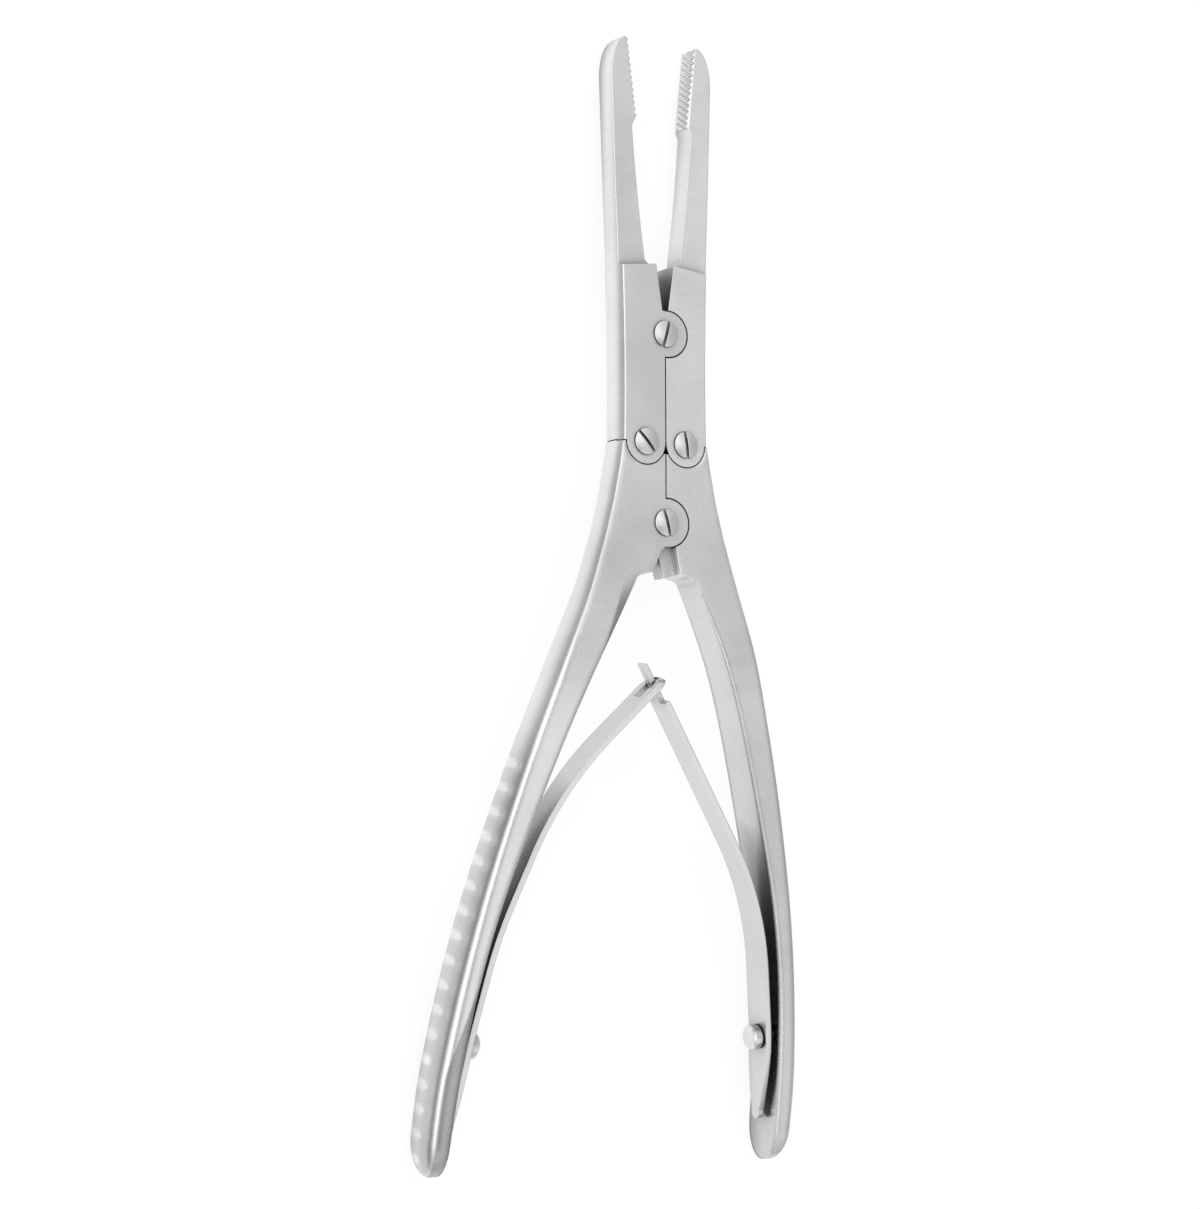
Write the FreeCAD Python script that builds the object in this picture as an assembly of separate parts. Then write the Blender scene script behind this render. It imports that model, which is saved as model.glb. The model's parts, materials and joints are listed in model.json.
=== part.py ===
import FreeCAD, Part
import math
import os

from FreeCAD import Placement, Rotation, Vector

# Cartilage morselizer: double action forceps with toothed jaws and grooved, bent handles.
#
# Every piece is drawn with the rear pivot as origin: x across the arms, y towards the jaw tips and z
# square to the joint plates, whose middle plane is z = 0. At the end the whole instrument is laid down
# as it lies on a table. Arms are drawn on the +x side. The left ones are mirrored, and differ from the
# right ones in the knuckles: the left arms carry the forks, the right arms the tongues.

# Pivots
front_pivot_y = 33.7
mid_pivot_x = 4.1
mid_pivot_y = 14.15
rear_pivot_y = 0.0

# Joint plates
joint_thickness = 6.2
ear_thickness = 1.5
layer_gap = 0.05
parting_gap = 0.15
knuckle_gap = 0.2
mid_gap = 0.15
front_knuckle_radius = 4.1
rear_knuckle_radius = 4.25
mid_knuckle_radius = 4.0
knuckle_shift = 0.4
plate_crown = 0.9
plate_edge_radius = 0.25

# Jaws
shoulder_y = 45.3
shoulder_turn = 7.2
blade_thickness = 4.35
plate_start_y = 8.0
nose_start_y = 80.0
jaw_outer = [(plate_start_y, 8.55), (26.0, 8.35), (shoulder_y, 8.7), (62.0, 9.35), (nose_start_y, 9.95)]
jaw_spans = 10
tip_x = 6.94
tip_y = 86.91
nose_land = 0.4
nose_steps = 8
nose_last_turn = 85.0
nose_least_crown = 0.25
mouth_root_x = 0.62
mouth_root_y = 37.85
mouth_top_x = 1.84
root_arc_rise = 0.69
neck_low_x = 3.82
neck_low_y = 47.8
neck_arc_rise = 0.19
neck_top_x = 6.2
neck_top_y = 70.4
heel_arc_rise = 0.32
heel_x = 5.11
heel_y = 72.44

# Teeth: two sets of V grooves crossing at a slant leave pyramids
tooth_pitch = 1.14
tooth_slant = 30.0
tooth_depth = 0.46
groove_half_angle = 45.0
tooth_bevel_tip = 0.25
left_bevel_heel = 0.3
right_bevel_heel = 0.75
tooth_bevel_past = 0.6

# Handles, measured along the bent bar from the rear pivot
bend_start = -8.0
bend_radius = 115.0
tilt = 11.5
handle_start = 16.0
handle_length = 115.0
grip_nose = 6.5
grip_nose_steps = 8
grip_nose_last_turn = 86.0
grip_nose_skew = 0.6
handle_outer = [(handle_start, 8.3), (8.0, 9.65), (0.0, 11.45), (-12.0, 15.2), (-24.0, 19.6),
                (-48.0, 27.0), (-73.0, 32.95), (-97.0, 36.45), (-115.0, 37.05)]
handle_inner = [(6.4, -10.7), (9.1, -16.0), (12.95, -24.0), (22.15, -48.0),
                (29.4, -72.0), (33.05, -96.0), (33.9, -120.0)]
handle_blank_inner = [(handle_start, -7.0), (0.0, -7.0), (-12.0, -5.0), (-24.0, 5.0), (-48.0, 15.0),
                      (-84.0, 27.0), (-120.0, 29.0)]
handle_half_width = [(handle_start, joint_thickness / 2), (bend_start, joint_thickness / 2), (-20.0, 3.5),
                     (-36.0, 3.7), (-50.0, 3.95), (-80.0, 4.45), (-115.0, 4.4)]
handle_edge_radius = [(handle_start, plate_edge_radius), (-20.0, plate_edge_radius), (-60.0, 0.9),
                      (-85.0, 1.5), (-115.0, 1.8)]
handle_crown = [(handle_start, plate_crown), (-60.0, 0.95), (-115.0, 1.1)]
plate_step = 6.0
bend_step = 4.0

# Crotch between the handles
crotch_corner = (3.0, -8.9)
crotch_end = (5.35, -9.5)
crotch_round_rise = 0.2
fork_crotch = [(1.05, -5.0), (2.0, -7.2)]
tongue_crotch_x = 2.0
tongue_root_top = (-1.35, -3.5)
tongue_root_low = (0.45, -9.7)
fork_slot_x = 3.45
cusp_y = mid_pivot_y - 1.95
jaw_cusp_y = mid_pivot_y + 2.35

# Grip grooves
groove_radius = 1.15
groove_depth = 0.42
groove_pitch = 4.3
first_groove = -43.0
groove_count = 17
plain_groove = 12

# Pivot screws
head_radius = 2.35
head_sink = 0.75
head_rise = 0.3
head_dome = 0.25
shank_radius = 1.6
shank_gap = 0.06
front_shank_gap = 0.1
ear_gap = 0.02
slot_width = 0.6
slot_depth = 0.6
front_slot_turn = -15.0
left_slot_turn = 42.0
right_slot_turn = 8.0
rear_slot_turn = 15.0

# Leaf springs, drawn flat in the plane of the bent handles
leaf_thickness = 1.1
leaf_foot = (32.3, -107.4)
leaf_seat = (31.1, -92.0)
left_leaf_bends = [(27.55, -73.1), (17.8, -46.85)]
right_leaf_bends = [(26.65, -66.9)]
leaf_cross = (0.0, -28.4)
seat_bend_radius = 60.0
left_bend_radii = [71.0, 58.0]
right_bend_radii = [59.0]
leaf_width = 5.8
leaf_tip_width = 5.2
leaf_tip_round = 1.8
foot_round = 1.6
foot_half_width = 1.1
foot_swell = 8.0
foot_swell_half_width = 2.35
seat_land_below = 2.5
seat_land_above = 6.0
left_leaf_past = 2.0
right_leaf_past = 4.6
leaf_hole_gap = 0.16
leaf_stand_off = 0.6
tip_slot_width = 2.2
tip_slot_length = 5.1
tip_slot_shift = -1.05
tongue_width = 1.5
tongue_root_past = -3.4

# Spring screws
spring_head_radius = 2.25
spring_head_height = 1.7
spring_head_bevel = 0.3
spring_head_gap = 0.35
spring_shank_radius = 1.3
spring_shank_depth = 2.4
spring_slot_width = 0.55
spring_slot_depth = 0.7

# Worked out from the sizes above, and two lengths that reach past every piece
half_joint = joint_thickness / 2
tongue_half = half_joint - ear_thickness
ear_inside = tongue_half + layer_gap
half_parting = parting_gap / 2
half_blade = blade_thickness / 2
bend_angle = math.radians(tilt)
far = 60.0
tall = 30.0
flatness = 1e-5


def through(points, place):
    """Value at a place on a smooth curve through a few (place, value) points."""
    rows = sorted(points)
    if place <= rows[0][0]:
        return rows[0][1]
    if place >= rows[-1][0]:
        return rows[-1][1]
    slopes = []
    for i in range(len(rows)):
        a = rows[max(i - 1, 0)]
        b = rows[min(i + 1, len(rows) - 1)]
        slopes.append((b[1] - a[1]) / (b[0] - a[0]))
    for i in range(len(rows) - 1):
        x0, y0 = rows[i]
        x1, y1 = rows[i + 1]
        if place <= x1:
            break
    step = x1 - x0
    t = (place - x0) / step
    a = (2 * t ** 3 - 3 * t ** 2 + 1) * y0 + (t ** 3 - 2 * t ** 2 + t) * step * slopes[i]
    b = (-2 * t ** 3 + 3 * t ** 2) * y1 + (t ** 3 - t ** 2) * step * slopes[i + 1]
    return a + b


def bar_frame(place):
    """Point and tilt of the handle's middle line at a distance along the bar."""
    run = bend_start - place
    if run <= 0:
        return Vector(0, place, 0), 0.0
    arc = bend_radius * bend_angle
    turn = min(run, arc) / bend_radius
    rest = max(run - arc, 0.0)
    y = bend_start - bend_radius * math.sin(turn) - rest * math.cos(turn)
    z = -bend_radius * (1 - math.cos(turn)) - rest * math.sin(turn)
    return Vector(0, y, z), turn


def section(place, x_in, x_out, half_width, crown, edge_radius):
    """Closed section of an arm: flat inside, front and back, and a crowned outside."""
    origin, turn = bar_frame(place)

    def at(x, w):
        return origin + Vector(x, -w * math.sin(turn), w * math.cos(turn))

    crown_radius = (half_width ** 2 + crown ** 2) / (2 * crown)
    crown_x = x_out + crown - crown_radius
    reach = crown_radius - edge_radius
    rise = half_width - edge_radius
    corner_x = crown_x + math.sqrt(reach ** 2 - rise ** 2)
    lean = math.atan2(rise, corner_x - crown_x)
    middle = (lean + math.pi / 2) / 2
    end_x = crown_x + crown_radius * math.cos(lean)
    end_w = crown_radius * math.sin(lean)
    mid_x = corner_x + edge_radius * math.cos(middle)
    mid_w = rise + edge_radius * math.sin(middle)
    edges = [
        Part.LineSegment(at(x_in, -half_width), at(x_in, half_width)).toShape(),
        Part.LineSegment(at(x_in, half_width), at(corner_x, half_width)).toShape(),
        Part.Arc(at(corner_x, half_width), at(mid_x, mid_w), at(end_x, end_w)).toShape(),
        Part.Arc(at(end_x, end_w), at(x_out + crown, 0), at(end_x, -end_w)).toShape(),
        Part.Arc(at(end_x, -end_w), at(mid_x, -mid_w), at(corner_x, -half_width)).toShape(),
        Part.LineSegment(at(corner_x, -half_width), at(x_in, -half_width)).toShape(),
    ]
    return Part.Wire(edges)


def prism(points, low=-tall, high=tall):
    """Straight sided block over an outline of corner points."""
    corners = [Vector(x, y, low) for x, y in points]
    face = Part.Face(Part.makePolygon(corners + corners[:1]))
    return face.extrude(Vector(0, 0, high - low))


def block(x_low, x_high, y_low, y_high, low, high):
    """Straight block between two places each way."""
    return Part.makeBox(x_high - x_low, y_high - y_low, high - low, Vector(x_low, y_low, low))


def disc(x, y, radius, low=-tall, high=tall):
    """Round plate square to the joint."""
    return Part.makeCylinder(radius, high - low, Vector(x, y, low))


def outer_layers(shape_of, inside):
    """A tool in the front and back layers, beyond a distance from the middle plane."""
    return shape_of(inside, tall).fuse(shape_of(-tall, -inside))


def mirrored(shape):
    """The left hand twin of a shape drawn on the right."""
    return shape.mirror(Vector(0, 0, 0), Vector(1, 0, 0))


def tidy(shape):
    """The one solid of a finished piece."""
    solid = shape.Solids[0] if len(shape.Solids) == 1 else max(shape.Solids, key=lambda s: s.Volume)
    return solid


def past_parting(y, radius, forked, half, wide_half):
    """Tools that leave a fork or a tongue round a pivot on the centre line.

    half and wide_half give the space beyond the parting face between two heights. wide_half is used where
    the round of the knuckle reaches over to the other arm, half where it gives way to the other's.
    """
    if forked:
        def outer(low, high):
            stem = block(-knuckle_shift, far, y - radius, y + radius, low, high)
            return wide_half(low, high).cut(stem.fuse(disc(-knuckle_shift, y, radius, low, high)))

        slot = disc(0, y, radius + knuckle_gap, -ear_inside, ear_inside)
        return [outer_layers(outer, ear_inside), half(-ear_inside, ear_inside).fuse(slot)]

    def recess(low, high):
        wide = radius + knuckle_gap
        stem = block(-far, knuckle_shift, y - wide, y + wide, low, high)
        return half(low, high).fuse([stem, disc(knuckle_shift, y, wide, low, high)])

    tongue = disc(0, y, radius, -tongue_half, tongue_half)
    return [outer_layers(recess, tongue_half), wide_half(-tongue_half, tongue_half).cut(tongue)]


def pivot_hole(x, y, forked, gap=shank_gap):
    """Bore for a pivot screw, with the seat of its head in the front ear of a fork."""
    if not forked:
        return [disc(x, y, shank_radius + gap)]
    bore = disc(x, y, shank_radius + ear_gap)
    seat = disc(x, y, head_radius + ear_gap, half_joint - head_sink, tall)
    return [bore, seat]


def spaced(start, end, spans):
    """Evenly spaced places from start to end."""
    return [start + (end - start) * i / spans for i in range(spans + 1)]


def shoulder_at(x):
    """Height of the shoulder line across the plate, square to the closed jaw."""
    return shoulder_y + (through(jaw_outer, shoulder_y) - x) * math.tan(math.radians(shoulder_turn))


def jaw_blank():
    """Jaw with its crowned outside, ground down on both faces from the shoulder to the tip."""
    wires = [section(y, -plate_start_y, through(jaw_outer, y), half_joint, plate_crown, plate_edge_radius)
             for y in spaced(plate_start_y, nose_start_y, jaw_spans)]
    nose_length = tip_y - nose_start_y
    nose_width = through(jaw_outer, nose_start_y) - tip_x
    for turn in spaced(0.0, math.radians(nose_last_turn), nose_steps)[1:]:
        y = nose_start_y + nose_length * math.sin(turn)
        x_out = tip_x + nose_land + (nose_width - nose_land) * math.cos(turn)
        crown = plate_crown * (nose_least_crown + (1 - nose_least_crown) * math.cos(turn))
        wires.append(section(y, -plate_start_y, x_out, half_joint, crown, plate_edge_radius))

    def beyond_shoulder(low, high):
        return prism([(-far, shoulder_at(-far)), (far, shoulder_at(far)), (far, 2 * far), (-far, 2 * far)],
                     low, high)

    return faceted_loft(wires[::-1]).cut(outer_layers(beyond_shoulder, half_blade))


def true_plane(face):
    """The same face on a true plane, where it is flat with straight sides."""
    corners = [vertex.Point for vertex in face.OuterWire.OrderedVertexes]
    normal = (corners[1] - corners[0]).cross(corners[2] - corners[1]).normalize()
    for corner in corners:
        if abs((corner - corners[0]).dot(normal)) > flatness:
            return face
    for edge in face.Edges:
        ends = [vertex.Point for vertex in edge.Vertexes]
        if edge.Length - (ends[0] - ends[-1]).Length > flatness:
            return face
    return Part.Face(Part.makePolygon(corners + corners[:1]))


def faceted_loft(wires):
    """Solid through closed sections, straight from each to the next, with its flat faces joined up."""
    loft = Part.makeLoft(wires, True, True)
    shell = Part.Shell([true_plane(face) for face in loft.Faces])
    shell.sewShape()
    return Part.Solid(shell).removeSplitter()


def bulged(a, b, rise):
    """Arc from a to b that swells to the right of the way between them."""
    return Part.Arc(a, (a + b) / 2 + side_of(a, b) * rise, b).toShape()


def jaw_mouth():
    """Space between the jaws: the narrow V, the long neck gap and the toothed gap."""
    root = Vector(mouth_root_x, mouth_root_y, 0)
    shoulder = Vector(mouth_top_x, shoulder_at(mouth_top_x), 0)
    neck_low = Vector(neck_low_x, neck_low_y, 0)
    neck_top = Vector(neck_top_x, neck_top_y, 0)
    heel = Vector(heel_x, heel_y, 0)
    tip = Vector(tip_x, tip_y, 0)
    top = tip + (tip - heel) * 0.2
    outside = [Vector(-far, top.y, 0), Vector(-far, mouth_root_y, 0)]
    edges = [
        Part.LineSegment(outside[1], root).toShape(),
        Part.LineSegment(root, shoulder).toShape(),
        bulged(shoulder, neck_low, root_arc_rise),
        bulged(neck_low, neck_top, neck_arc_rise),
        bulged(neck_top, heel, heel_arc_rise),
        Part.LineSegment(heel, top).toShape(),
        Part.LineSegment(top, outside[0]).toShape(),
        Part.LineSegment(outside[0], outside[1]).toShape(),
    ]
    face = Part.Face(Part.Wire(edges))
    face.translate(Vector(0, 0, -tall))
    return face.extrude(Vector(0, 0, 2 * tall))


def tooth_grooves(shift, bevel_heel):
    """Crossing V grooves and side bevels of one toothed face."""
    run = Vector(tip_x - heel_x, tip_y - heel_y, 0)
    length = run.Length
    along = Vector(run).normalize()
    into = Vector(along.y, -along.x, 0)
    across = Vector(0, 0, 1)
    heel = Vector(heel_x, heel_y, 0)
    above = 0.3
    half_open = (tooth_depth + above) * math.tan(math.radians(groove_half_angle))
    tools = []
    margin = half_blade * math.tan(math.radians(tooth_slant))
    count = int((length + 2 * margin) / tooth_pitch) + 2
    for side in (-1, 1):
        slant = math.radians(tooth_slant) * side
        line = across * math.cos(slant) + along * math.sin(slant)
        normal = along * math.cos(slant) - across * math.sin(slant)
        for i in range(count):
            centre = heel + along * (i * tooth_pitch + shift - margin)
            start = centre - line * blade_thickness
            floor = start + into * tooth_depth
            left = start - into * above - normal * half_open
            right = start - into * above + normal * half_open
            face = Part.Face(Part.makePolygon([floor, left, right, floor]))
            tools.append(face.extrude(line * (2 * blade_thickness)))
    bevels = [(-tooth_bevel_past, bevel_heel), (length + tooth_bevel_past, tooth_bevel_tip)]
    for side in (-1, 1):
        ends = []
        for place, size in bevels:
            corner = heel + along * place + across * (side * half_blade)
            outside = corner - into * above + across * (side * above)
            low = corner + into * size + across * (side * above)
            inner = corner - into * above - across * (side * size)
            deep = corner + into * size
            flat = corner - across * (side * size)
            ends.append(Part.makePolygon([outside, low, deep, flat, inner, outside]))
        tools.append(Part.makeLoft(ends, True, True))
    return tools


def jaw(forked):
    """One jaw on the right hand side."""
    arm = jaw_blank()
    arm = arm.cut(jaw_mouth())

    def half(low, high):
        return block(-far, half_parting, -far, mouth_root_y + half_parting, low, high)

    arm = arm.cut(past_parting(front_pivot_y, front_knuckle_radius, forked, half, half))

    def below_ears(low, high):
        under = prism([(-far, -far), (far, -far), (far, mid_pivot_y), (-far, mid_pivot_y)], low, high)
        return under.cut(disc(mid_pivot_x, mid_pivot_y, mid_knuckle_radius, low, high))

    cusp = [(mid_pivot_x, mid_pivot_y + mid_gap), (mid_pivot_x, jaw_cusp_y), (-far, jaw_cusp_y)]
    middle = prism([(-far, -far), (far, -far), (far, mid_pivot_y + mid_gap)] + cusp, -ear_inside, ear_inside)
    clear = disc(mid_pivot_x, mid_pivot_y, mid_knuckle_radius + mid_gap, -ear_inside, ear_inside)
    arm = arm.cut([outer_layers(below_ears, ear_inside), middle.fuse(clear)])
    holes = pivot_hole(0, front_pivot_y, forked, front_shank_gap) + pivot_hole(mid_pivot_x, mid_pivot_y, True)
    arm = arm.cut(holes)
    if forked:
        arm = arm.cut(tooth_grooves(0.0, left_bevel_heel))
    else:
        arm = arm.cut(tooth_grooves(tooth_pitch / 2, right_bevel_heel))
    return tidy(arm)


def handle_places():
    """Places of the sections along the bar, one between each two grooves of the grip."""
    nose_start = grip_nose - handle_length
    first_gap = first_groove + groove_pitch / 2
    places = spaced(handle_start, bend_start, round((handle_start - bend_start) / plate_step))
    places += spaced(bend_start, first_gap, round((bend_start - first_gap) / bend_step))[1:]
    place = first_gap - groove_pitch
    while place > nose_start + groove_pitch / 2:
        places.append(place)
        place -= groove_pitch
    return places + [nose_start]


def handle_section(place, shrink=1.0):
    """Section of the handle blank, or of its end where it shrinks to the nose of the grip."""
    x_out = through(handle_outer, place)
    thick = x_out - handle_inner[-1][0]
    return section(place, through(handle_blank_inner, place), x_out - thick * grip_nose_skew * (1 - shrink),
                   through(handle_half_width, place) * shrink, through(handle_crown, place) * shrink,
                   through(handle_edge_radius, place) * shrink)


def handle_blank():
    """The whole handle as one bent, flared and crowned bar, wider than needed on the inside."""
    wires = [handle_section(place) for place in handle_places()]
    nose_start = grip_nose - handle_length
    for turn in spaced(0.0, math.radians(grip_nose_last_turn), grip_nose_steps)[1:]:
        wires.append(handle_section(nose_start - grip_nose * math.sin(turn), math.cos(turn)))
    return faceted_loft(wires)


def handle_inside():
    """Space between the handles, below the crotch."""
    curve = Part.BSplineCurve()
    curve.interpolate([Vector(x, y, 0) for x, y in handle_inner])
    first = Vector(handle_inner[0][0], handle_inner[0][1], 0)
    last = Vector(handle_inner[-1][0], handle_inner[-1][1], 0)
    foot = Vector(crotch_end[0], crotch_end[1], 0)
    corner = Vector(crotch_corner[0], crotch_corner[1], 0)
    root = Vector(tongue_root_low[0], tongue_root_low[1], 0)
    beside = [Vector(-far, root.y, 0), Vector(-far, last.y, 0)]
    edges = [curve.toShape(), bulged(first, foot, crotch_round_rise)]
    edges += Part.makePolygon([foot, corner, root] + beside + [last]).Edges
    face = Part.Face(Part.Wire(edges))
    face.translate(Vector(0, 0, -2 * tall))
    return face.extrude(Vector(0, 0, 4 * tall))


def crotch_tools(forked):
    """Edges of the knuckle plates just below the rear pivot."""
    below = [crotch_corner, (crotch_corner[0], tongue_root_low[1]), (-far, tongue_root_low[1])]
    if forked:
        edge = [(-far, -rear_knuckle_radius), (parting_gap, -rear_knuckle_radius)] + fork_crotch

        def beyond(low, high):
            return prism(edge + below, low, high)

        inside = [(-far, -far), (fork_slot_x, -far), (fork_slot_x, 0), (-far, 0)]
        middle = prism(inside, -ear_inside, ear_inside)
        return [outer_layers(beyond, ear_inside), middle]

    def beside(low, high):
        edge = [(-far, 0), (tongue_crotch_x, 0), (tongue_crotch_x, -rear_knuckle_radius)]
        return prism(edge + below, low, high)

    root_edge = [(-far, tongue_root_top[1]), tongue_root_top, tongue_root_low, (-far, tongue_root_low[1])]
    middle = prism(root_edge, -tongue_half, tongue_half)
    return [outer_layers(beside, tongue_half), middle]


def grip_grooves():
    """Round grooves across the outside of the grip, with one left out for a plain band."""
    tools = []
    for i in range(groove_count):
        if i == plain_groove:
            continue
        place = first_groove - i * groove_pitch
        origin, turn = bar_frame(place)
        crest = through(handle_outer, place) + through(handle_crown, place)
        axis = Vector(0, -math.sin(turn), math.cos(turn))
        start = origin + Vector(crest + groove_radius - groove_depth, 0, 0) - axis * joint_thickness
        tools.append(Part.makeCylinder(groove_radius, 2 * joint_thickness, start, axis))
    return tools


def rear_knuckle(forked):
    """Tools that leave the rear knuckle of a handle, with the tongue's root kept below the pivot."""
    low_y = -rear_knuckle_radius if forked else tongue_root_top[1]

    def half(low, high):
        return block(-far, half_parting, rear_pivot_y, far, low, high)

    def low_half(low, high):
        return block(-far, half_parting, low_y, far, low, high)

    return past_parting(rear_pivot_y, rear_knuckle_radius, forked, half, low_half)


def handle(forked):
    """One handle on the right hand side."""
    arm = handle_blank()
    arm = arm.cut(handle_inside())
    arm = arm.cut(rear_knuckle(forked))
    arm = arm.cut(crotch_tools(forked))

    def above_plate(low, high):
        top = prism([(-far, far), (-far, cusp_y), (mid_pivot_x, cusp_y), (mid_pivot_x, mid_pivot_y - mid_gap),
                     (far, mid_pivot_y - mid_gap), (far, far)], low, high)
        return top.fuse(disc(mid_pivot_x, mid_pivot_y, mid_knuckle_radius + mid_gap, low, high))

    beyond_pivot = [(-far, mid_pivot_y), (far, mid_pivot_y), (far, far), (-far, far)]
    middle = prism(beyond_pivot, -tongue_half, tongue_half)
    tongue = disc(mid_pivot_x, mid_pivot_y, mid_knuckle_radius, -tongue_half, tongue_half)
    arm = arm.cut([outer_layers(above_plate, tongue_half), middle.cut(tongue)])
    arm = arm.cut(pivot_hole(0, rear_pivot_y, forked) + pivot_hole(mid_pivot_x, mid_pivot_y, False))
    arm = arm.cut(grip_grooves())
    arm = arm.cut(spring_screw_hole(seat_axis(left_leaf_bends if forked else right_leaf_bends)))
    return tidy(arm)


def pivot_screw(x, y, slot_turn):
    """Slotted screw with a low domed head, its end flush with the back of the joint."""
    seat_z = half_joint - head_sink
    rim_z = half_joint + head_rise
    profile = [
        Part.LineSegment(Vector(0, 0, -half_joint), Vector(shank_radius, 0, -half_joint)).toShape(),
        Part.LineSegment(Vector(shank_radius, 0, -half_joint), Vector(shank_radius, 0, seat_z)).toShape(),
        Part.LineSegment(Vector(shank_radius, 0, seat_z), Vector(head_radius, 0, seat_z)).toShape(),
        Part.LineSegment(Vector(head_radius, 0, seat_z), Vector(head_radius, 0, rim_z)).toShape(),
        dome(head_radius, rim_z, head_dome),
        Part.LineSegment(Vector(0, 0, rim_z + head_dome), Vector(0, 0, -half_joint)).toShape(),
    ]
    body = Part.Face(Part.Wire(profile)).revolve(Vector(0, 0, 0), Vector(0, 0, 1), 360)
    slot = Part.makeBox(slot_width, 4 * head_radius, slot_depth + 1.0,
                        Vector(-slot_width / 2, -2 * head_radius, rim_z + head_dome - slot_depth))
    slot.rotate(Vector(0, 0, 0), Vector(0, 0, 1), slot_turn)
    screw = body.cut(slot)
    screw.translate(Vector(x, y, 0))
    return tidy(screw)


def dome(radius, z, height):
    """Arc from a head's rim to the crest on its axis."""
    sphere = (radius ** 2 + height ** 2) / (2 * height)
    lean = math.asin(radius / sphere) / 2
    middle = Vector(sphere * math.sin(lean), 0, z + height - sphere + sphere * math.cos(lean))
    return Part.Arc(Vector(radius, 0, z), middle, Vector(0, 0, z + height)).toShape()


def leaf_corners(bends, past):
    """Corner points of a leaf's middle line, from its foot to its tip."""
    corners = [Vector(x, y, 0) for x, y in [leaf_foot, leaf_seat] + bends]
    return corners + [Vector(leaf_cross[0], leaf_cross[1], 0) + leaf_run(bends) * past]


def strip(corners, radii, offset):
    """Edges of one side of the leaf, offset from its middle line, with its first and last point."""
    edges = []
    here = corners[0] + side_of(corners[0], corners[1]) * offset
    start = here
    for i in range(1, len(corners) - 1):
        before = (corners[i] - corners[i - 1]).normalize()
        after = (corners[i + 1] - corners[i]).normalize()
        turn = before.getAngle(after)
        reach = radii[i - 1] * math.tan(turn / 2)
        enter = corners[i] - before * reach
        leave = corners[i] + after * reach
        inward = (after - before).normalize()
        centre = corners[i] + inward * (radii[i - 1] / math.cos(turn / 2))
        middle = centre - inward * radii[i - 1]
        a = enter + side_of(corners[i - 1], corners[i]) * offset
        b = middle - inward * offset * sense(before, after)
        c = leave + side_of(corners[i], corners[i + 1]) * offset
        edges.append(Part.LineSegment(here, a).toShape())
        edges.append(Part.Arc(a, b, c).toShape())
        here = c
    last = corners[-1] + side_of(corners[-2], corners[-1]) * offset
    edges.append(Part.LineSegment(here, last).toShape())
    return edges, start, last


def side_of(a, b):
    """Unit vector to the right of the way from a to b."""
    way = (b - a).normalize()
    return Vector(way.y, -way.x, 0)


def sense(before, after):
    """1 where the route turns left and -1 where it turns right."""
    return 1.0 if before.cross(after).z > 0 else -1.0


def leaf_spring(bends, bend_radii, past, slotted):
    """One leaf, drawn flat in the handle plane on the right hand side."""
    corners = leaf_corners(bends, past)
    radii = [seat_bend_radius] + bend_radii
    one, one_start, one_end = strip(corners, radii, leaf_thickness / 2)
    two, two_start, two_end = strip(corners, radii, -leaf_thickness / 2)
    wire = Part.Wire(one + [Part.LineSegment(one_end, two_end).toShape()] + two[::-1]
                     + [Part.LineSegment(two_start, one_start).toShape()])
    face = Part.Face(wire)
    face.translate(Vector(0, 0, -leaf_width))
    leaf = face.extrude(Vector(0, 0, 2 * leaf_width))
    leaf = leaf.common(leaf_side_view(corners[-1].y))
    leaf = leaf.cut(leaf_hole(seat_axis(bends)))
    if slotted:
        leaf = leaf.cut(tip_slot(leaf_run(bends)))
    else:
        leaf = leaf.cut(tongue_sides(leaf_run(bends), past))
    return tidy(leaf)


def leaf_side_view(end_y):
    """Outline of the leaf seen from the side: pointed foot, full width at the screw, slimmer tip."""
    foot_y = leaf_foot[1]
    half = leaf_width / 2
    tip_half = leaf_tip_width / 2

    def at(y, z):
        return Vector(-far / 2, y, z)

    def side(z_sign):
        swell = Part.BSplineCurve()
        swell.interpolate([at(foot_y + foot_round, foot_half_width * z_sign),
                           at(foot_y + foot_swell, foot_swell_half_width * z_sign),
                           at(leaf_seat[1] - seat_land_below, half * z_sign)])
        land = Part.makePolygon([at(leaf_seat[1] - seat_land_below, half * z_sign),
                                 at(leaf_seat[1] + seat_land_above, half * z_sign),
                                 at(end_y - leaf_tip_round, tip_half * z_sign)])
        return [swell.toShape()] + land.Edges

    round_y = foot_y + foot_round
    tip_y = end_y - leaf_tip_round
    foot = Part.Arc(at(round_y, -foot_half_width), at(foot_y, 0), at(round_y, foot_half_width))
    tip = Part.Arc(at(tip_y, tip_half), at(end_y, 0), at(tip_y, -tip_half))
    edges = [foot.toShape()] + side(1) + [tip.toShape()] + side(-1)
    outline = Part.Wire(Part.__sortEdges__(edges))
    return Part.Face(outline).extrude(Vector(2 * far, 0, 0))


def leaf_run(bends):
    """Unit vector along the last straight part of a leaf, towards its tip."""
    return Vector(leaf_cross[0] - bends[-1][0], leaf_cross[1] - bends[-1][1], 0).normalize()


def seat_axis(bends):
    """Unit vector from the leaf to the handle, along the spring screw."""
    below = Vector(leaf_seat[0] - leaf_foot[0], leaf_seat[1] - leaf_foot[1], 0).normalize()
    above = Vector(bends[0][0] - leaf_seat[0], bends[0][1] - leaf_seat[1], 0).normalize()
    way = (below + above).normalize()
    return Vector(way.y, -way.x, 0)


def leaf_hole(axis):
    """Screw hole of a leaf."""
    start = Vector(leaf_seat[0], leaf_seat[1], 0) - axis * leaf_width
    return Part.makeCylinder(spring_shank_radius + leaf_hole_gap, 2 * leaf_width, start, axis)


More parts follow.
